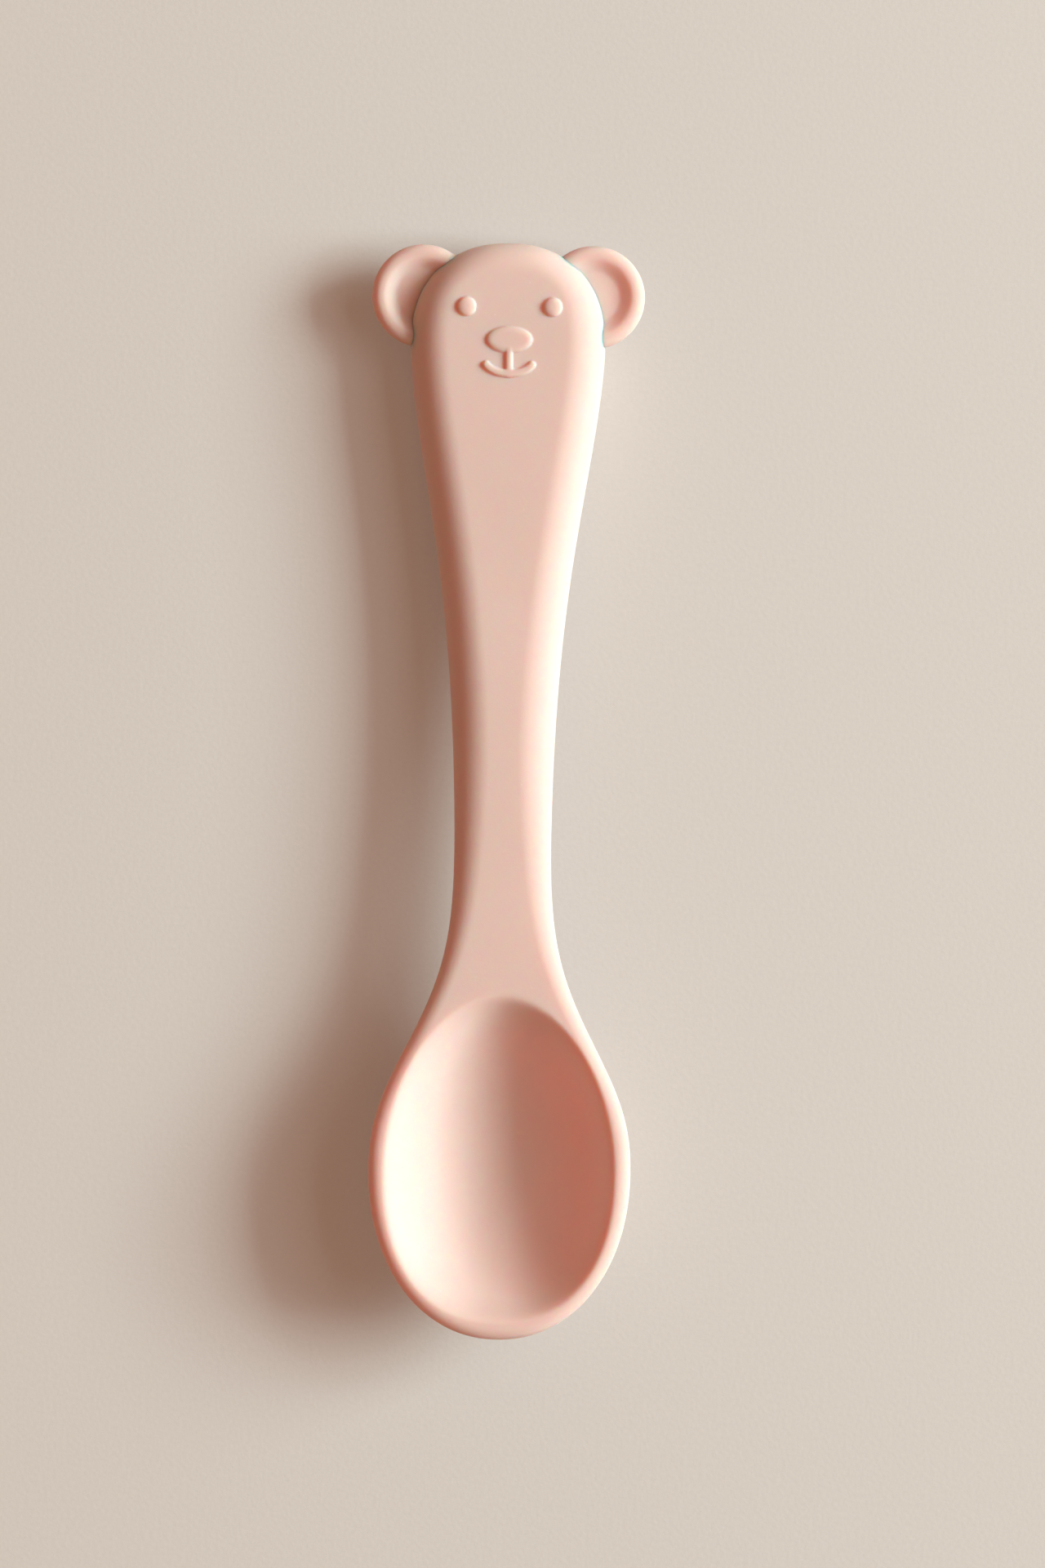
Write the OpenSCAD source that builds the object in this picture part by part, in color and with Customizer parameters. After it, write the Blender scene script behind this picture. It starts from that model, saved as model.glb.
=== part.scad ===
// Soft baby spoon: a silicone spoon with a bear's head, moulded over a stiff nylon core.
// The spoon lies on a table: X across, Y from the bowl's tip to the bear's crown, Z up.
// The origin is under the middle of its length and width, on the table.

/* [Whole spoon] */
// Length from the bowl's tip to the bear's crown
spoon_len = 140; // [125:1:160]
// Height of the front face above the table at the neck
crest_z = 11.6; // [10.6:0.1:13]
// How much higher the rim is at the tip than at the neck
rim_rise = 2.4; // [1.5:0.1:3.5]
// How deep the rounded back is cut flat where it rests on the table
foot_cut = 0.3; // [0.15:0.05:0.5]

/* [Bowl] */
// Width of the bowl
bowl_w = 33.4; // [30:0.1:38]
// From the tip to the bowl's widest place
bowl_tip_len = 21.5; // [19:0.1:25]
// How far the bowl's swell reaches towards the neck
shoulder_len = 20; // [17:0.1:23]
// Width of the rim at the bowl's sides
rim_w = 2.5; // [2.1:0.1:3]
// Width of the rim at the bowl's tip
rim_tip_w = 2.9; // [2.4:0.1:4]
// From the bowl's widest place to the hollow's end at the neck
hollow_neck_len = 21.4; // [19:0.1:24]
// Depth of the hollow below the rim
hollow_depth = 10.3; // [8.5:0.1:10.7]
// Least height of silicone under the hollow
bowl_wall = 2.4; // [2.2:0.1:3]
// Width of the rim's rounded outer edge
rim_edge_w = 1.6; // [1.4:0.05:2]
// Height of the rim's rounded outer edge
rim_edge_h = 1.35; // [1.1:0.05:2]
// How softly the rim rolls over into the hollow
lip_soft = 2; // [1:0.05:2.2]
// How softly the bowl's back runs into the handle's
back_soft = 1.5; // [0.8:0.1:2]

/* [Handle] */
// Width of the handle, to which the bowl's and the head's swells are added
shaft_w = 11.9; // [10.5:0.1:14]
// Thickness at the neck
neck_t = 4.5; // [4.2:0.1:5.5]
// Width of the front's rounded edges on the handle and the head
edge_w = 4.8; // [4:0.1:5]
// Width of the front's rounded edge at the crown
crown_edge_w = 3.4; // [2.8:0.1:4.2]
// Height of the front's rounded edges on the head
edge_h = 4.7; // [4:0.1:5]
// Height of the front's rounded edges where the handle is fully raised
neck_edge_h = 3.3; // [2.8:0.1:3.6]
// Width of the rounded edges underneath
back_edge_w = 6; // [4:0.1:6.2]
// Length over which the handle's front edges thin to the rim's
thin_len = 50; // [40:1:56]

/* [Head] */
// Width of the head
head_w = 25; // [22:0.1:29]
// Thickness of the head before the foot is cut
head_t = 10.2; // [9.4:0.1:11]
// From the crown down to the head's widest place
crown_len = 12.6; // [11:0.1:15]
// How far the head's swell reaches down the handle
swell_len = 30.6; // [26:0.1:36]
// From the crown down to where the flat face ends and the handle starts to rise
face_len = 20; // [19:0.1:24]

/* [Ears] */
// Diameter of an ear
ear_d = 13.2; // [12.2:0.1:15]
// Thickness of an ear
ear_t = 2.5; // [2.2:0.1:3]
// How far an ear's centre lies inside the head's side
ear_inset = 1.6; // [0:0.1:3]
// From the crown down to the ears' centres
ear_drop = 6.9; // [5.5:0.1:8.5]
// Height of the ears' backs above the table
ear_lift = 4.6; // [4:0.1:5]
// Diameter of the flat floor of an ear's dish
dish_d = 7.6; // [6:0.1:8]
// Depth and corner radius of an ear's dish
dish_r = 1; // [0.6:0.1:1.2]

/* [Face] */
// How far the face's features stand out
relief_h = 0.5; // [0.3:0.05:0.9]
// Between the centres of the eyes
eye_gap = 11; // [8.5:0.1:13]
// From the crown down to the eyes
eye_drop = 8.5; // [7.5:0.1:9.5]
// Width of an eye
eye_w = 2.4; // [1.5:0.1:3]
// Height of an eye
eye_h = 2.4; // [1.5:0.1:3]
// From the crown down to the nose's centre
nose_drop = 12.65; // [11.8:0.05:13]
// Width of the nose
nose_w = 5.9; // [4.5:0.1:7]
// Height of the nose
nose_h = 3.5; // [2.4:0.1:3.8]
// Width of the lines under the nose
line_w = 1.05; // [0.7:0.05:1.3]
// Radius of the smile
smile_r = 4.1; // [3.6:0.05:4.6]
// Half of the smile's arc, in degrees
smile_turn = 45; // [38:1:55]
// From the crown down to the lowest point of the smile
smile_drop = 16.95; // [16.4:0.05:17.5]

/* [Core] */
// Thickness of the core
core_t = 1.8; // [1.6:0.1:2.2]
// Width of the core's strip
core_w = 8.6; // [6:0.1:10]
// Least silicone between the strip's sides and the handle's
core_side_cover = 2.4; // [2:0.1:3]
// Silicone between the hollow's end at the neck and the core
core_neck_cover = 2.5; // [2:0.1:5]
// Diameter of the disc that ends the core in the head
disc_d = 13; // [10:0.1:15]
// From the crown down to the disc's centre
disc_drop = 13.5; // [12:0.1:16]
// Number of holes in the strip that the silicone locks into
lock_holes = 5; // [3:1:7]
// Diameter of a hole
lock_hole_d = 3.4; // [2.5:0.1:4]

/* [Hidden] */

silicone_colour = "#E5C7BA";
nylon_colour = "#EFEBDF";

// Squareness of the outlines: 2 is an ellipse, more is squarer
tip_power = 2.1;
crown_power = 2.2;
hollow_tip_power = 2.3;
hollow_neck_power = 1.9;
// How sharply the outline's swells fade into the handle
shoulder_power = 2.3;
swell_power = 1.7;
// How steeply the bowl's walls climb, inside and behind
wall_power = 2;
lip_power = 8;
back_power = 2.15;
// Part of the hollow's depth that is lost close to the lip
lip_share = 0.3;
// How early the handle thins towards the neck
thin_power = 0.4;
// Height of the domes that the face's features are cut from, as a share of their own height
dome_share = 1.3;

// Places along the length
tip_y = -spoon_len / 2;
crown_y = spoon_len / 2;
bowl_y = tip_y + bowl_tip_len;
head_y = crown_y - crown_len;
hollow_end_y = bowl_y + hollow_neck_len;
shoulder_y = bowl_y + shoulder_len;
// Where the bowl's rounded back has become the handle's flat one
back_end_y = shoulder_y + shoulder_len / 4;
// Where the front face starts to rise, and where the handle's edges start and end thinning
rise_y = crown_y - face_len;
rim_y = (bowl_y + shoulder_y) / 2;
thin_y = rim_y + thin_len;
// Height of the flat face
face_z = head_t - foot_cut;

// Rows along the tip, shoulder, handle and crown
tip_rows = 18;
shoulder_rows = 22;
handle_rows = 15;
crown_rows = 11;
// Strips across half of the front: the rounded edge, the flat beside it and the hollow
edge_strips = 5;
flat_strips = 3;
hollow_strips = 10;
// Least and most of the flat that the hollow's strips take
least_hollow_share = 0.25;
most_hollow_share = 0.97;
// Steps along the core
core_steps = 48;
// Step over which the outline's slope is taken
slope_step = 0.5;
// Overrun of cuts
over = 1;

function clamp01(v) = min(max(v, 0), 1);
function mix(a, b, t) = a + (b - a) * t;
function ease(a, b, v) = let(t = clamp01((v - a) / (b - a))) t * t * (3 - 2 * t);
function soft_max(a, b, k) = max(a, b) + k / 4 * pow(max(0, 1 - abs(a - b) / k), 2);
function oval(share, power) = share >= 1 ? 0 : pow(1 - pow(share, power), 1 / power);

// Outline: the shaft with a swell at the bowl and one at the head, closed by two round ends
function bowl_swell(y) = y < bowl_y ? 1 : exp(-pow((y - bowl_y) / shoulder_len, shoulder_power));
function head_swell(y) = y > head_y ? 1 : exp(-pow((head_y - y) / swell_len, swell_power));
function side_w(y) =
    (shaft_w + (bowl_w - shaft_w) * bowl_swell(y) + (head_w - shaft_w) * head_swell(y)) / 2;
function tip_share(y) = clamp01((bowl_y - y) / bowl_tip_len);
function crown_share(y) = clamp01((y - head_y) / crown_len);
function half_w(y) = side_w(y) * oval(tip_share(y), tip_power) * oval(crown_share(y), crown_power);

// Distance in from the outline: towards the centre of a round end, or square to the side
function end_inset(x, y, len, share, power) =
    let(r = pow(pow(abs(x) / side_w(y), power) + pow(share, power), 1 / power))
    r == 0 ? side_w(y) : max(0, norm([x, share * len]) * (1 / r - 1));
function side_slope(y) = (side_w(y + slope_step) - side_w(y - slope_step)) / (2 * slope_step);
function inset(x, y) =
    y < bowl_y ? end_inset(x, y, bowl_tip_len, tip_share(y), tip_power)
    : y > head_y ? end_inset(x, y, crown_len, crown_share(y), crown_power)
    : (side_w(y) - abs(x)) / norm([1, side_slope(y)]);
// Drop of a rounded edge at a distance in from the outline
function edge_drop(d, w, h) = d >= w ? 0 : h * (1 - sqrt(1 - pow(1 - max(d, 0) / w, 2)));

// Side view
function rise(y) = ease(rise_y, hollow_end_y, y);
function front_z(y) = mix(face_z, crest_z, rise(y)) + rim_rise * ease(hollow_end_y, tip_y, y);
function thickness(y) = mix(head_t, neck_t, pow(rise(y), thin_power));
function rim_likeness(y) = ease(thin_y, rim_y, y);
function top_edge_w(y) = mix(edge_w, crown_edge_w, ease(head_y, crown_y, y));
function front_edge_w(y) = mix(top_edge_w(y), rim_edge_w, rim_likeness(y));
function front_edge_h(y) = mix(mix(edge_h, neck_edge_h, rise(y)), rim_edge_h, rim_likeness(y));
function widest_z(y) = front_z(y) - front_edge_h(y);

// Hollow: its edge in plan, and its depth
function hollow_len(y) = y < bowl_y ? bowl_tip_len - rim_tip_w : hollow_neck_len;
function hollow_power(y) = y < bowl_y ? hollow_tip_power : hollow_neck_power;
function hollow_share(y) = abs(y - bowl_y) / hollow_len(y);
function hollow_half_w(y) = (bowl_w / 2 - rim_w) * oval(hollow_share(y), hollow_power(y));
function hollow_drop(x, y) =
    let(p = hollow_power(y),
        across = abs(x) / (bowl_w / 2 - rim_w),
        r = pow(pow(across, p) + pow(hollow_share(y), p), 1 / p))
    hollow_depth * (1 - mix(pow(r, wall_power), pow(r, lip_power), lip_share));

// Front of the spoon
function hollow_z(x, y) = front_z(y) - soft_max(0, hollow_drop(x, y), lip_soft);
function top_z(x, y) = hollow_z(x, y) - edge_drop(inset(x, y), front_edge_w(y), front_edge_h(y));

// Back of the spoon: the bowl's round dish turns into the handle's flat slab, a wall below the hollow
function dish_z(x, y) =
    let(along = y < bowl_y ? tip_share(y) : clamp01((y - bowl_y) / (hollow_neck_len + shoulder_len / 2)),
        a = pow(along, back_power),
        r = a + (1 - a) * pow(clamp01(abs(x) / half_w(y)), back_power))
    mix(-foot_cut, widest_z(y), clamp01(r));
function slab_z(x, y) = front_z(y) - thickness(y)
    + edge_drop(inset(x, y), back_edge_w, thickness(y) - front_edge_h(y));
function back_z(x, y) = mix(dish_z(x, y), slab_z(x, y), ease(bowl_y, back_end_y, y));
function bottom_z(x, y) = -soft_max(-back_z(x, y), bowl_wall - hollow_z(x, y), back_soft);

// Rows of the skin, closer together at the round ends
rows = concat(
    [for (i = [1 : tip_rows]) bowl_y - bowl_tip_len * cos(90 * i / tip_rows)],
    [for (i = [1 : shoulder_rows]) mix(bowl_y, back_end_y, i / shoulder_rows)],
    [for (i = [1 : handle_rows]) mix(back_end_y, head_y, i / handle_rows)],
    [for (i = [1 : crown_rows - 1]) head_y + crown_len * sin(90 * i / crown_rows)]);

// Places from the outline to the middle, in strips that follow the rounded edge and the hollow's edge
function half_row(y) =
    let(w = half_w(y),
        flat = w - min(front_edge_w(y), w / 2),
        hollow = flat * min(max(hollow_half_w(y) / flat, least_hollow_share), most_hollow_share))
    concat(
        [for (i = [0 : edge_strips - 1]) mix(w, flat, 1 - cos(90 * i / edge_strips))],
        [for (i = [0 : flat_strips - 1]) mix(flat, hollow, i / flat_strips)],
        [for (i = [0 : hollow_strips]) hollow * cos(90 * i / hollow_strips)]);

// One ring round the spoon: across the front from left to right, then back underneath
function ring(y) = let(h = half_row(y), n = len(h) - 1) concat(
    [[-h[0], y, widest_z(y)]],
    [for (i = [1 : n]) [-h[i], y, top_z(h[i], y)]],
    [for (i = [n - 1 : -1 : 1]) [h[i], y, top_z(h[i], y)]],
    [[h[0], y, widest_z(y)]],
    [for (i = [1 : n]) [h[i], y, bottom_z(h[i], y)]],
    [for (i = [n - 1 : -1 : 1]) [-h[i], y, bottom_z(h[i], y)]]);

// Faces that join ring i to the next, where each ring has n points and ring 0 starts at point 1
function band(i, n) = [for (j = [0 : n - 1])
    let(a = 1 + i * n + j, b = 1 + i * n + (j + 1) % n)
    each [[a, a + n, b + n], [a, b + n, b]]];

// Closed skin over a run of rows, from a point at the start to the crown
module skin(start, run) {
    n = len(ring(run[0]));
    last = len(run) - 1;
    points = concat([start], [for (y = run) each ring(y)], [[0, crown_y, widest_z(crown_y)]]);
    polyhedron(points, concat(
        [for (j = [0 : n - 1]) [0, 1 + j, 1 + (j + 1) % n]],
        [for (i = [0 : last - 1]) each band(i, n)],
        [for (j = [0 : n - 1]) [len(points) - 1, 1 + last * n + (j + 1) % n, 1 + last * n + j]]));
}

module below_table() {
    translate([-spoon_len, -spoon_len, -over]) cube([2 * spoon_len, 2 * spoon_len, over]);
}

// Everything but the ears and the face, with the core's seat inside
module silicone_body() {
    color(silicone_colour) difference() {
        skin([0, tip_y, widest_z(tip_y)], rows);
        stiffening_core();
        below_table();
    }
}

// A disc with a full-round edge and a dish in its front, tucked against the head's side
module ear() {
    head_rows = [for (y = rows) if (y > crown_y - ear_drop - ear_d) y];
    difference() {
        translate([head_w / 2 - ear_inset, crown_y - ear_drop, ear_lift])
            rotate_extrude() difference() {
                union() {
                    square([(ear_d - ear_t) / 2, ear_t]);
                    intersection() {
                        translate([(ear_d - ear_t) / 2, ear_t / 2]) circle(d = ear_t);
                        square([ear_d / 2, ear_t]);
                    }
                }
                translate([0, ear_t - dish_r]) square([dish_d / 2, dish_r + over]);
                translate([dish_d / 2, ear_t]) circle(r = dish_r);
            }
        skin([0, head_rows[0], widest_z(head_y)], head_rows);
    }
}

module right_ear() {
    color(silicone_colour) ear($fn = 96);
}

module left_ear() {
    color(silicone_colour) mirror([1, 0, 0]) ear($fn = 96);
}

// A flat-topped pad with a round edge that lies on the face
module bead(w, h) {
    intersection() {
        scale([w / 2, h / 2, relief_h * dome_share]) sphere(r = 1);
        translate([-w, -h, 0]) cube([2 * w, 2 * h, relief_h]);
    }
}

module eye(side) {
    color(silicone_colour) translate([side * eye_gap / 2, crown_y - eye_drop, face_z])
        bead(eye_w, eye_h, $fn = 96);
}

module left_eye() {
    eye(-1);
}

module right_eye() {
    eye(1);
}

// Section of the lines under the nose: the foot of an ellipse standing on the face
module line_section() {
    intersection() {
        scale([line_w / 2, relief_h * dome_share]) circle(r = 1);
        translate([-line_w / 2, 0]) square([line_w, relief_h]);
    }
}

module smile() {
    translate([0, crown_y - smile_drop + smile_r, face_z]) {
        rotate([0, 0, -90 - smile_turn]) rotate_extrude(angle = 2 * smile_turn)
            translate([smile_r, 0]) line_section();
        for (side = [-1, 1])
            rotate([0, 0, side * smile_turn]) translate([0, -smile_r, 0]) bead(line_w, line_w);
    }
}

module mouth() {
    color(silicone_colour) smile($fn = 48);
}

// An egg-shaped nose with a line down to the mouth
module nose() {
    color(silicone_colour) difference($fn = 48) {
        union() {
            translate([0, crown_y - nose_drop, face_z]) bead(nose_w, nose_h, $fn = 48);
            translate([0, crown_y - nose_drop, face_z]) rotate([90, 0, 0])
                linear_extrude(smile_drop - nose_drop) line_section($fn = 48);
        }
        smile($fn = 48);
    }
}

// Side view of the core: a strip in the middle of the handle's thickness
function core_z(y) = front_z(y) - thickness(y) / 2;
core_start_y = hollow_end_y + core_neck_cover;
disc_y = crown_y - disc_drop;
core_ys = [for (i = [0 : core_steps]) mix(core_start_y, disc_y + disc_d / 2, i / core_steps)];
strip_ys = [for (i = [0 : core_steps]) mix(core_start_y, disc_y, i / core_steps)];

module core_side() {
    polygon(concat(
        [for (y = core_ys) [y, core_z(y) - core_t / 2]],
        [for (i = [core_steps : -1 : 0]) [core_ys[i], core_z(core_ys[i]) + core_t / 2]]));
}

module core_plan() {
    function strip(y) = min(core_w / 2, half_w(y) - core_side_cover);
    difference() {
        union() {
            polygon(concat(
                [for (y = strip_ys) [strip(y), y]],
                [for (i = [core_steps : -1 : 0]) [-strip(strip_ys[i]), strip_ys[i]]]));
            translate([0, disc_y]) circle(d = disc_d);
        }
        for (i = [1 : lock_holes])
            translate([0, mix(core_start_y, disc_y, i / (lock_holes + 1))]) circle(d = lock_hole_d);
        translate([0, disc_y]) circle(d = lock_hole_d);
    }
}

// A nylon strip with a disc at its end in the head, and holes that the silicone locks into
module stiffening_core() {
    color(nylon_colour) intersection() {
        linear_extrude(crest_z) core_plan($fn = 48);
        rotate([90, 0, 90]) translate([0, 0, -disc_d]) linear_extrude(2 * disc_d) core_side();
    }
}

silicone_body();
left_ear();
right_ear();
left_eye();
right_eye();
nose();
mouth();
stiffening_core();
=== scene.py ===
import bpy
import numpy as np
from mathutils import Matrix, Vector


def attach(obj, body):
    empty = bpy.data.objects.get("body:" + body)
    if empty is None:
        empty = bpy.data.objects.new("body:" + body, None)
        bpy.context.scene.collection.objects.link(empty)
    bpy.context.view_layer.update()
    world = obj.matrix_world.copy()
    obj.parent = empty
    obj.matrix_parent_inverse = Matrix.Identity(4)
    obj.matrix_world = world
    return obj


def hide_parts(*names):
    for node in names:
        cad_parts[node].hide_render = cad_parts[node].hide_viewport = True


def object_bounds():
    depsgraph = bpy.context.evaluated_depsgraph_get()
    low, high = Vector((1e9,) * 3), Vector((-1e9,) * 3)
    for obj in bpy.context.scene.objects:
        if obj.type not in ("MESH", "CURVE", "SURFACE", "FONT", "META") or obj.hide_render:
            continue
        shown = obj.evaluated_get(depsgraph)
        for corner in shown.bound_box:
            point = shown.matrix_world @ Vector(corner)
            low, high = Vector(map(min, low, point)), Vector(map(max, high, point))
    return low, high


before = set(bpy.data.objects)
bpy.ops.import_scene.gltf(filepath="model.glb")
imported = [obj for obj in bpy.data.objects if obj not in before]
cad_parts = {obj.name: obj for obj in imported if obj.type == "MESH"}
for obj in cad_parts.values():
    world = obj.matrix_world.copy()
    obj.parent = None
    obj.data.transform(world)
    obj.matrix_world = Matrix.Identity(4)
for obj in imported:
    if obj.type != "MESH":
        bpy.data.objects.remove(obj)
cad_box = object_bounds()


# The spoon's moulding: one piece of silicone rubber, pressed and cured in a polished and lightly
# sand-blasted steel mould. Bowl, handle, head, ears and face are all one skin, with soft edges
# wherever two faces of the mould met. Sizes are in millimetres, as a drawing of it would have them.
spoon_length = 140.0
crest_height = 11.6
rim_rise = 2.4
foot_cut = 0.3

bowl_width = 33.4
bowl_tip_length = 21.5
shoulder_length = 20.0
rim_width = 2.5
rim_tip_width = 2.9
hollow_neck_length = 21.4
hollow_depth = 10.3
bowl_wall = 2.4
back_softness = 1.5
rim_edge_width = 1.6
rim_edge_height = 1.35
lip_softness = 2.0

shaft_width = 11.9
neck_thickness = 4.5
edge_width = 4.8
crown_edge_width = 3.4
edge_height = 4.7
neck_edge_height = 3.3
back_edge_width = 6.0
thin_length = 50.0

head_width = 25.0
head_thickness = 10.2
crown_length = 12.6
swell_length = 30.6
face_length = 20.0

tip_power, crown_power = 2.1, 2.2
hollow_tip_power, hollow_neck_power = 2.3, 1.9
shoulder_power, swell_power = 2.3, 1.7
wall_power, lip_power, lip_share = 2.0, 8, 0.3
back_power = 2.15
thin_power = 0.4

crown_y = spoon_length / 2
tip_y = -crown_y
bowl_y = tip_y + bowl_tip_length
head_y = crown_y - crown_length
hollow_end_y = bowl_y + hollow_neck_length
shoulder_y = bowl_y + shoulder_length
back_end_y = shoulder_y + shoulder_length / 4
rise_y = crown_y - face_length
rim_y = (bowl_y + shoulder_y) / 2
thin_y = rim_y + thin_length
face_height = head_thickness - foot_cut


def mix(a, b, t):
    return a + (b - a) * t


def ease(a, b, v):
    t = np.clip((v - a) / (b - a), 0, 1)
    return t * t * (3 - 2 * t)


def soft_max(a, b, softness):
    return np.maximum(a, b) + softness / 4 * np.maximum(0, 1 - abs(a - b) / softness) ** 2


def oval(share, power):
    return (1 - np.clip(share, 0, 1) ** power) ** (1 / power)


def side_width(y):
    """Half width of the handle with the bowl's and the head's swells, before the round ends."""
    bowl_swell = np.exp(-((np.maximum(y - bowl_y, 0) / shoulder_length) ** shoulder_power))
    head_swell = np.exp(-((np.maximum(head_y - y, 0) / swell_length) ** swell_power))
    bowl_extra = (bowl_width - shaft_width) * bowl_swell
    head_extra = (head_width - shaft_width) * head_swell
    return (shaft_width + bowl_extra + head_extra) / 2


def tip_share(y):
    return np.clip((bowl_y - y) / bowl_tip_length, 0, 1)


def crown_share(y):
    return np.clip((y - head_y) / crown_length, 0, 1)


def half_width(y):
    return side_width(y) * oval(tip_share(y), tip_power) * oval(crown_share(y), crown_power)


def end_inset(x, y, length, share, power):
    """Distance in from a round end's outline, towards its centre."""
    r = ((abs(x) / side_width(y)) ** power + share**power) ** (1 / power)
    r = np.maximum(r, 1e-6)
    return np.maximum(0, np.hypot(x, share * length) * (1 / r - 1))


def inset(x, y):
    """Distance in from the outline."""
    slope = side_width(y + 0.5) - side_width(y - 0.5)
    side = (side_width(y) - abs(x)) / np.hypot(1, slope)
    tip = end_inset(x, y, bowl_tip_length, tip_share(y), tip_power)
    crown = end_inset(x, y, crown_length, crown_share(y), crown_power)
    return np.where(y < bowl_y, tip, np.where(y > head_y, crown, side))


def edge_drop(distance, width, height):
    """Drop of a rounded edge at a distance in from the outline."""
    return height * (1 - oval(1 - distance / width, 2))


def rise(y):
    return ease(rise_y, hollow_end_y, y)


def front_height(y):
    return mix(face_height, crest_height, rise(y)) + rim_rise * ease(hollow_end_y, tip_y, y)


def thickness(y):
    return mix(head_thickness, neck_thickness, rise(y) ** thin_power)


def rim_likeness(y):
    return ease(thin_y, rim_y, y)


def front_edge_width(y):
    top_edge_width = mix(edge_width, crown_edge_width, ease(head_y, crown_y, y))
    return mix(top_edge_width, rim_edge_width, rim_likeness(y))


def front_edge_height(y):
    return mix(mix(edge_height, neck_edge_height, rise(y)), rim_edge_height, rim_likeness(y))


def widest_height(y):
    return front_height(y) - front_edge_height(y)


def hollow_length(y):
    return np.where(y < bowl_y, bowl_tip_length - rim_tip_width, hollow_neck_length)


def hollow_power(y):
    return np.where(y < bowl_y, hollow_tip_power, hollow_neck_power)


def hollow_drop(x, y):
    """How far the bowl's hollow lies below the rim. Outside the hollow it is negative."""
    power = hollow_power(y)
    across = abs(x) / (bowl_width / 2 - rim_width)
    along = abs(y - bowl_y) / hollow_length(y)
    r = (across**power + along**power) ** (1 / power)
    return hollow_depth * (1 - mix(r**wall_power, r**lip_power, lip_share))


def hollow_surface(x, y):
    return front_height(y) - soft_max(0, hollow_drop(x, y), lip_softness)


def front_surface(x, y):
    return hollow_surface(x, y) - edge_drop(inset(x, y), front_edge_width(y), front_edge_height(y))


def back_surface(x, y):
    """The bowl's round dish, eased into the handle's flat back and cut flat by the table. It stays
    a wall's thickness below the hollow."""
    neck_side = np.clip((y - bowl_y) / (hollow_neck_length + shoulder_length / 2), 0, 1)
    along = np.where(y < bowl_y, tip_share(y), neck_side) ** back_power
    across = np.clip(abs(x) / half_width(y), 0, 1) ** back_power
    r = np.clip(along + (1 - along) * across, 0, 1)
    dish = mix(-foot_cut, widest_height(y), r)
    lower_edge = thickness(y) - front_edge_height(y)
    rounding = edge_drop(inset(x, y), back_edge_width, lower_edge)
    slab = front_height(y) - thickness(y) + rounding
    back = mix(dish, slab, ease(bowl_y, back_end_y, y))
    return np.maximum(0, -soft_max(-back, bowl_wall - hollow_surface(x, y), back_softness))


# The bear's face, pressed into the mould: the eyes are small domes, the nose and the mouth flat
# pads with round edges. It sits a hair to the right of the middle.
face_shift = 0.18
eye_relief, nose_relief, line_relief = 0.6, 0.5, 0.48
eye_rounding, nose_rounding, line_rounding = 1.15, 0.95, 0.5
foot_softness = 0.12
eye_spacing = 11.0
eye_drop = 8.5
eye_width, eye_height = 2.4, 2.4
nose_drop = 12.7
nose_width, nose_height = 5.9, 3.4
line_width, lip_line_width = 1.0, 0.9
lip_line_top = 0.35
smile_half_width, smile_rise = 3.15, 1.75
smile_turn = np.radians(68)
smile_drop = 17.0
smile_points = 25
join_softness = 0.35


def oval_distance(x, y, width, height):
    """Signed distance to an upright oval, near enough for a soft edge."""
    r = np.hypot(x / (width / 2), y / (height / 2))
    steepness = np.hypot(x / (width / 2) ** 2, y / (height / 2) ** 2) / np.maximum(r, 1e-3)
    return (r - 1) / np.maximum(steepness, 1 / width)


def soft_min(a, b, softness):
    return -soft_max(-a, -b, softness)


def pad(outside, height, rounding):
    """Height of a raised pad, from the signed distance to its edge."""
    inside = np.clip((foot_softness - outside) / rounding, 0, 1)
    return height * np.sqrt(1 - (1 - inside) ** 2) * ease(foot_softness, -foot_softness, outside)


def face_relief(x, y):
    """Height of the eyes, nose and mouth above the flat face."""
    x = x - face_shift
    eyes = oval_distance(abs(x) - eye_spacing / 2, y - (crown_y - eye_drop), eye_width, eye_height)
    nose_y = crown_y - nose_drop
    nose = oval_distance(x, y - nose_y, nose_width, nose_height)
    smile_bottom = crown_y - smile_drop
    down = y - np.clip(y, smile_bottom, nose_y - nose_height * lip_line_top)
    lip_line = np.hypot(x, down) - lip_line_width / 2
    turns = np.linspace(0, smile_turn, smile_points)[:, None]
    smile_x = smile_half_width * np.sin(turns)
    smile_y = smile_bottom + smile_rise * (1 - np.cos(turns))
    smile = np.hypot(abs(x) - smile_x, y - smile_y).min(axis=0) - line_width / 2
    lines = soft_min(lip_line, smile, join_softness)
    eye_pads = pad(eyes, eye_relief, eye_rounding)
    nose_pad = pad(nose, nose_relief, nose_rounding)
    line_pads = pad(lines, line_relief, line_rounding)
    # The blend adds a quarter of its softness where neither pad is raised, which is taken off again.
    blend = join_softness / 2
    muzzle = soft_max(nose_pad, line_pads, blend) - blend / 4
    return np.maximum(eye_pads, muzzle)


# The mesh's steps: along the spoon in millimetres, in degrees round the bowl's tip, and as counts
# over the crown and across each ring. The face lies between the two drops from the crown.
bowl_row_step, handle_row_step, face_row_step = 0.4, 0.9, 0.1
tip_turn_step, crown_rows = 1.5, 43
face_start_drop, face_end_drop = 18.2, 6.6
front_edge_steps, front_flat_steps = 18, 52
back_edge_steps, back_flat_steps = 12, 11


def spread(start, end, step):
    """Evenly spaced places from start up to, but not including, end."""
    count = max(1, round((end - start) / step))
    return start + (end - start) * np.arange(count) / count


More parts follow.
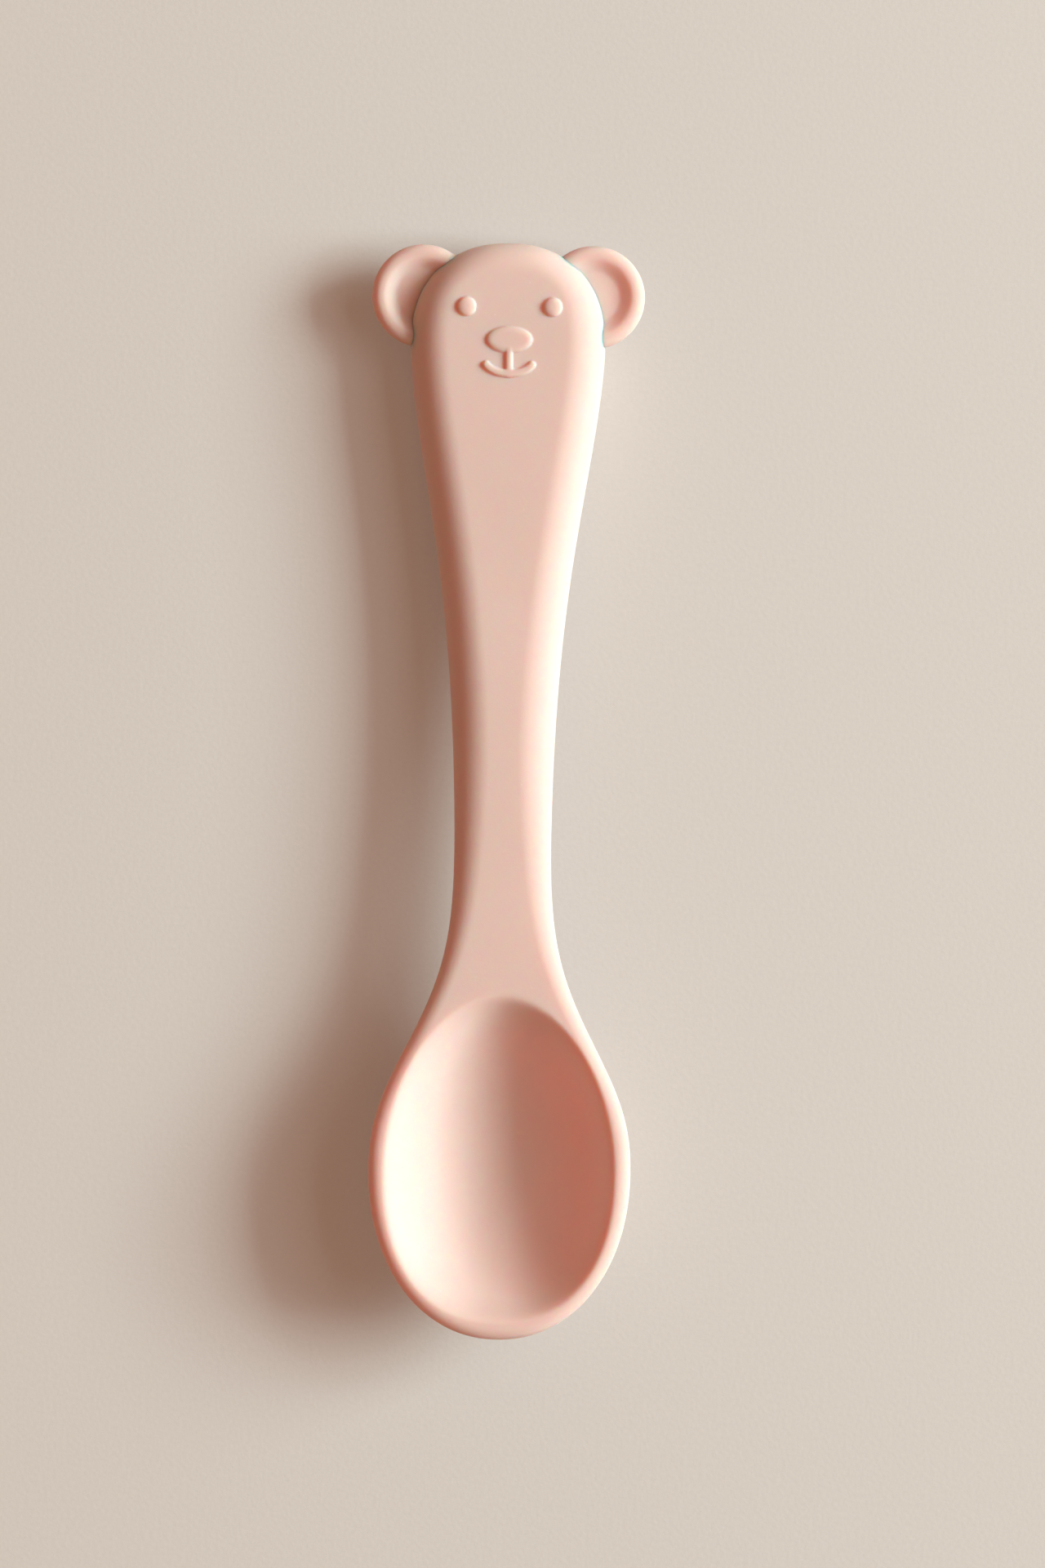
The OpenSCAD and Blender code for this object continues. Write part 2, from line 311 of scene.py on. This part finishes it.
def body_rows():
    """Places along Y of the rings of the skin: fine at the ends and finest over the face."""
    tip_turns = np.radians(np.arange(tip_turn_step, 90, tip_turn_step))
    face_start, face_end = crown_y - face_start_drop, crown_y - face_end_drop
    crown_start = np.arcsin((face_end - head_y) / crown_length)
    crown_turns = np.linspace(crown_start, np.pi / 2, crown_rows + 1)[:-1]
    return np.concatenate(
        [
            bowl_y - bowl_tip_length * np.cos(tip_turns),
            spread(bowl_y, back_end_y, bowl_row_step),
            spread(back_end_y, face_start, handle_row_step),
            spread(face_start, face_end, face_row_step),
            head_y + crown_length * np.sin(crown_turns),
        ]
    )


def half_ring(y, edge_steps, flat_steps):
    """Places from the outline in to the middle at one row."""
    width = half_width(y)
    flat = width - min(front_edge_width(y), width / 2)
    edge = mix(width, flat, 1 - np.cos(np.linspace(0, np.pi / 2, edge_steps + 1)[:-1]))
    return np.concatenate([edge, np.linspace(flat, 0, flat_steps + 1)])


def ring(y):
    """One closed ring: across the front from left to right, then back underneath."""
    fine = half_ring(y, front_edge_steps, front_flat_steps)
    coarse = half_ring(y, back_edge_steps, back_flat_steps)
    front_x = np.concatenate([-fine, fine[-2::-1]])
    back_x = np.concatenate([coarse[1:], -coarse[-2:0:-1]])
    front_z = front_surface(front_x, y)
    # The edge is so steep at the outline that its height is set there, not worked out.
    front_z[[0, -1]] = widest_height(y)
    front_z += np.where(y > head_y - face_length, face_relief(front_x, y), 0)
    x = np.concatenate([front_x, back_x])
    z = np.concatenate([front_z, back_surface(back_x, y)])
    return np.column_stack([x, np.full_like(x, y), z])


def closed_skin(name, start, rings, end):
    """A closed mesh through a run of rings with equal counts, with a point at each end."""
    count = len(rings[0])
    points = np.vstack([[start], *rings, [end]]) / 1000
    j = np.arange(count)
    k = (j + 1) % count
    faces = [(0, int(a), int(b)) for a, b in zip(1 + j, 1 + k)]
    for i in range(len(rings) - 1):
        low, high = 1 + i * count, 1 + (i + 1) * count
        faces += np.column_stack([low + j, high + j, high + k, low + k]).tolist()
    last = 1 + (len(rings) - 1) * count
    faces += [(len(points) - 1, int(b), int(a)) for a, b in zip(last + j, last + k)]
    mesh = bpy.data.meshes.new(name)
    mesh.from_pydata(points.tolist(), [], faces)
    mesh.validate()
    mesh.update()
    piece = bpy.data.objects.new(name, mesh)
    bpy.context.scene.collection.objects.link(piece)
    return piece


moulding = closed_skin(
    "spoon_moulding",
    [0, tip_y, widest_height(tip_y)],
    [ring(y) for y in body_rows()],
    [0, crown_y, widest_height(crown_y)],
)

# The ears: round discs on the mould's parting line, each with a full-round rim and a dish pressed
# into its front. They grow out of the head's sides, and the head's edge overlaps them.
ear_diameter = 13.2
ear_thickness = 2.5
ear_inset = 1.6
ear_drop = 6.9
ear_lift = 4.6
dish_depth = 1.0
dish_floor_radius, dish_lip_radius = 3.2, 5.2
ear_dish_steps, ear_rim_steps, ear_back_steps = 43, 15, 11
ear_turn_step = 3
crease_angle = np.radians(40)


def ear(side):
    """A disc turned round its own axis, from the middle of its dish over the rim to its back."""
    radius, round_edge = ear_diameter / 2, ear_thickness / 2
    flat = radius - round_edge
    over_rim = flat + round_edge * np.sin(np.linspace(0, np.pi / 2, ear_rim_steps + 1)[1:])
    front_r = np.concatenate([np.linspace(0, flat, ear_dish_steps + 1)[1:], over_rim])
    dish_wall = (front_r - dish_floor_radius) / (dish_lip_radius - dish_floor_radius)
    dish = dish_depth * (0.5 + 0.5 * np.cos(np.pi * np.clip(dish_wall, 0, 1)))
    edge = round_edge - np.sqrt(np.maximum(0, round_edge**2 - np.maximum(0, front_r - flat) ** 2))
    front_z = ear_thickness - dish - edge
    back_r = np.concatenate([over_rim[-2::-1], np.linspace(flat, 0, ear_back_steps + 1)[:-1]])
    back_z = round_edge - np.sqrt(round_edge**2 - np.maximum(0, back_r - flat) ** 2)
    turn = np.radians(np.arange(0, 360, ear_turn_step))
    centre_x = side * (head_width / 2 - ear_inset)
    centre_y = crown_y - ear_drop
    rings = []
    for r, z in zip(np.concatenate([front_r, back_r]), np.concatenate([front_z, back_z])):
        x = centre_x + r * np.cos(turn)
        y = centre_y + r * np.sin(turn)
        rings.append(np.column_stack([x, y, np.full_like(turn, ear_lift + z)]))
    top, bottom = ear_lift + ear_thickness - dish_depth, ear_lift
    name = "left_ear_disc" if side < 0 else "right_ear_disc"
    return closed_skin(name, [centre_x, centre_y, top], rings, [centre_x, centre_y, bottom])


# Each disc is joined to the moulding, so that the two share one skin, and is then removed.
for side in (-1, 1):
    disc = ear(side)
    union = moulding.modifiers.new("ear", "BOOLEAN")
    union.operation = "UNION"
    union.solver = "MANIFOLD"
    union.object = disc
    depsgraph = bpy.context.evaluated_depsgraph_get()
    joined = bpy.data.meshes.new_from_object(moulding.evaluated_get(depsgraph))
    moulding.modifiers.clear()
    moulding.data = joined
    bpy.data.objects.remove(disc)
moulding.data.name = "spoon_moulding"
moulding.data.shade_smooth()
moulding.data.set_sharp_from_angle(angle=crease_angle)

# The rubber of the whole moulding: silicone with a pink pigment, cured in a mould whose steel was
# lightly blasted with sand. The patterns' sizes are in millimetres. The real blasted grain is about
# 0.05 mm, and it is drawn coarser so that it shows.
pigment_cloud = 14.0
dust_spacing = 2.0
blasted_grain, blasted_depth = 0.22, 0.03


def linear(colour):
    """An sRGB hex colour as the linear values that a shader takes."""
    shares = np.array([int(colour[i : i + 2], 16) for i in (1, 3, 5)]) / 255
    straight = np.where(shares <= 0.04045, shares / 12.92, ((shares + 0.055) / 1.055) ** 2.4)
    return (*straight.tolist(), 1.0)


def add(tree, kind, feeds=None, **settings):
    """Adds a shader node. Each input named in feeds takes a value or another node's output. A colour
    mix has its share at input 0, its two colours at 6 and 7, and its result at output 2."""
    new = tree.nodes.new(kind)
    for name, value in settings.items():
        setattr(new, name, value)
    for name, value in (feeds or {}).items():
        if isinstance(value, bpy.types.NodeSocket):
            tree.links.new(value, new.inputs[name])
        else:
            new.inputs[name].default_value = value
    return new


def new_material(name):
    material = bpy.data.materials.new(name)
    material.use_nodes = True
    material.node_tree.nodes.clear()
    return material


def moulded_silicone():
    """Pigmented silicone rubber from a sand-blasted mould: matte, faintly waxy, and translucent
    where it is thin, so that shaded walls glow a deeper orange. Dust specks cling to it."""
    material = new_material("matte_moulded_silicone")
    tree = material.node_tree
    place = add(tree, "ShaderNodeTexCoord").outputs["Object"]
    clouds = add(
        tree,
        "ShaderNodeTexNoise",
        {"Vector": place, "Scale": 1000 / pigment_cloud, "Detail": 3.0},
    )
    tint = add(
        tree,
        "ShaderNodeMix",
        {0: clouds.outputs[0], 6: linear("#E1C0B8"), 7: linear("#E7C8C2")},
        data_type="RGBA",
    )
    specks = add(
        tree,
        "ShaderNodeTexVoronoi",
        {"Vector": place, "Scale": 1000 / dust_spacing},
        feature="F1",
    )
    near = add(
        tree,
        "ShaderNodeMapRange",
        {
            "Value": specks.outputs["Distance"],
            "From Min": 0.02,
            "From Max": 0.045,
            "To Min": 0.45,
            "To Max": 0.0,
        },
    )
    dusted = add(
        tree,
        "ShaderNodeMix",
        {0: near.outputs[0], 6: tint.outputs[2], 7: linear("#F6ECE2")},
        data_type="RGBA",
    )
    grain = add(
        tree,
        "ShaderNodeTexNoise",
        {"Vector": place, "Scale": 1000 / blasted_grain, "Detail": 2.0},
    )
    blast = add(
        tree,
        "ShaderNodeBump",
        {"Height": grain.outputs[0], "Strength": 0.35, "Distance": blasted_depth / 1000},
    )
    skin = add(
        tree,
        "ShaderNodeBsdfPrincipled",
        {
            "Base Color": dusted.outputs[2],
            "Roughness": 0.62,
            "IOR": 1.41,
            "Specular IOR Level": 0.12,
            "Subsurface Weight": 1.0,
            "Subsurface Radius": (1.0, 0.22, 0.1),
            "Subsurface Scale": 0.003,
            "Normal": blast.outputs[0],
        },
    )
    add(tree, "ShaderNodeOutputMaterial", {"Surface": skin.outputs[0]})
    return material


moulding.data.materials.clear()
moulding.data.materials.append(moulded_silicone())
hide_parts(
    "silicone_body", "left_ear", "right_ear", "left_eye", "right_eye", "nose", "mouth"
)
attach(moulding, "root")


# The stiffening core: a flat strip of nylon, injection-moulded first and laid in the spoon's mould,
# so that the silicone flows through its holes. It stays as the frame has it, sealed inside. The
# patterns' sizes are in millimetres.
nylon_cloud = 10.0
nylon_grain, nylon_grain_depth = 0.3, 0.03


def moulded_nylon():
    """Natural nylon from a textured mould: off-white, satin, with a fine even grain."""
    material = new_material("natural_moulded_nylon")
    tree = material.node_tree
    place = add(tree, "ShaderNodeTexCoord").outputs["Object"]
    flow = add(
        tree, "ShaderNodeTexNoise", {"Vector": place, "Scale": 1000 / nylon_cloud, "Detail": 2.0}
    )
    tint = add(
        tree,
        "ShaderNodeMix",
        {0: flow.outputs[0], 6: linear("#EBE6D8"), 7: linear("#F3F0E6")},
        data_type="RGBA",
    )
    grain = add(
        tree, "ShaderNodeTexNoise", {"Vector": place, "Scale": 1000 / nylon_grain, "Detail": 2.0}
    )
    texture = add(
        tree,
        "ShaderNodeBump",
        {"Height": grain.outputs[0], "Strength": 0.3, "Distance": nylon_grain_depth / 1000},
    )
    plastic = add(
        tree,
        "ShaderNodeBsdfPrincipled",
        {
            "Base Color": tint.outputs[2],
            "Roughness": 0.45,
            "IOR": 1.53,
            "Normal": texture.outputs[0],
        },
    )
    add(tree, "ShaderNodeOutputMaterial", {"Surface": plastic.outputs[0]})
    return material


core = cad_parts["stiffening_core"]
core.data.materials.clear()
core.data.materials.append(moulded_nylon())


# The table: a plain pale sheet of board with a matte coat, wide enough to fill every view. Its
# tooth, in millimetres, is drawn coarser than it is so that it shows. Its reach is in metres.
table_reach = 3.0
sheet_tooth, sheet_tooth_depth = 0.6, 0.1


def seen_directly(tree):
    """One where the camera sees it, also in a mirror or through glass, and nothing for its light."""
    path = add(tree, "ShaderNodeLightPath")
    seen = path.outputs["Is Camera Ray"]
    for ray in ("Is Glossy Ray", "Is Transmission Ray"):
        either = add(tree, "ShaderNodeMath", {0: seen, 1: path.outputs[ray]}, operation="MAXIMUM")
        seen = either.outputs[0]
    return seen


def pale_sheet():
    """Coated board: pale warm grey, even and without gloss. An eighth of what the camera sees of it
    is a glow that lights nothing, so the sheet looks bright and throws less back on the spoon."""
    material = new_material("pale_matte_sheet")
    tree = material.node_tree
    place = add(tree, "ShaderNodeTexCoord").outputs["Object"]
    tooth = add(
        tree, "ShaderNodeTexNoise", {"Vector": place, "Scale": 1000 / sheet_tooth, "Detail": 3.0}
    )
    tint = add(
        tree,
        "ShaderNodeMix",
        {0: tooth.outputs[0], 6: linear("#CDC1BF"), 7: linear("#D5C9C6")},
        data_type="RGBA",
    )
    bump = add(
        tree,
        "ShaderNodeBump",
        {"Height": tooth.outputs[0], "Strength": 0.2, "Distance": sheet_tooth_depth / 1000},
    )
    paper = add(
        tree,
        "ShaderNodeBsdfPrincipled",
        {"Base Color": tint.outputs[2], "Roughness": 0.85, "Normal": bump.outputs[0]},
    )
    glow = add(
        tree,
        "ShaderNodeEmission",
        {"Color": (0.8, 0.65, 0.53, 1.0), "Strength": seen_directly(tree)},
    )
    veil = add(tree, "ShaderNodeMixShader", {0: 0.13, 1: paper.outputs[0], 2: glow.outputs[0]})
    add(tree, "ShaderNodeOutputMaterial", {"Surface": veil.outputs[0]})
    return material


table_mesh = bpy.data.meshes.new("table")
corners = [(x * table_reach, y * table_reach, 0) for x, y in ((-1, -1), (1, -1), (1, 1), (-1, 1))]
table_mesh.from_pydata(corners, [], [(0, 1, 2, 3)])
table_mesh.materials.append(pale_sheet())
table = bpy.data.objects.new("table", table_mesh)
bpy.context.scene.collection.objects.link(table)

# The light: a large soft window to the right, a little towards the head and low over the table, the
# bright sky above it, and a weak warm room all round. Together they show a level surface about as
# its colour is written.
def light_panel(name, distance, elevation, turn, width, height, colour, share):
    """A rectangle of light, aimed at the middle of the spoon. Elevation is its angle above the table
    and turn its angle from X. Share is what it gives a level surface, and one shows it in full."""
    light = bpy.data.lights.new(name, "AREA")
    light.shape = "RECTANGLE"
    light.size, light.size_y = width, height
    light.color = colour
    light.energy = share * np.pi**2 * distance**2 / np.sin(elevation)
    panel = bpy.data.objects.new(name, light)
    panel.location = (
        distance * np.cos(elevation) * np.cos(turn),
        distance * np.cos(elevation) * np.sin(turn),
        distance * np.sin(elevation),
    )
    panel.rotation_euler = (np.pi / 2 - elevation, 0, np.pi / 2 + turn)
    bpy.context.scene.collection.objects.link(panel)


light_panel(
    "window",
    distance=2.0,
    elevation=np.radians(28.5),
    turn=np.radians(9.5),
    width=1.2,
    height=0.8,
    colour=(0.74, 0.98, 0.96),
    share=0.81,
)
light_panel(
    "sky",
    distance=2.2,
    elevation=np.radians(50),
    turn=np.radians(10),
    width=1.8,
    height=0.9,
    colour=(0.87, 0.98, 0.95),
    share=0.17,
)

world = bpy.data.worlds.new("room")
world.use_nodes = True
bpy.context.scene.world = world
room = world.node_tree
room.nodes.clear()
warm = add(room, "ShaderNodeBackground", {"Color": (0.86, 0.38, 0.18, 1.0), "Strength": 0.37})
pale = add(room, "ShaderNodeBackground", {"Color": linear("#E4DED6"), "Strength": 1.0})
shown = add(
    room, "ShaderNodeMixShader", {0: seen_directly(room), 1: warm.outputs[0], 2: pale.outputs[0]}
)
add(room, "ShaderNodeOutputWorld", {"Surface": shown.outputs[0]})

# The camera: straight above, with the spoon leaning a little over half a degree to the right in its
# frame. The frame takes in the view's length, in metres, at six tenths of the spoon's height.
camera_height = 0.75
view_length = 0.2004
view_centre = (0.00245, 0.00064)
view_level = cad_box[1][2] * 0.6
lean = np.radians(0.6)
camera_data = bpy.data.cameras.new("camera")
camera_data.sensor_width = 36
camera_data.lens = camera_data.sensor_width * camera_height / view_length
camera = bpy.data.objects.new("camera", camera_data)
camera.location = (*view_centre, camera_height + view_level)
camera.rotation_euler = (0, 0, lean)
bpy.context.scene.collection.objects.link(camera)
bpy.context.scene.camera = camera
bpy.context.scene.view_settings.view_transform = "Standard"
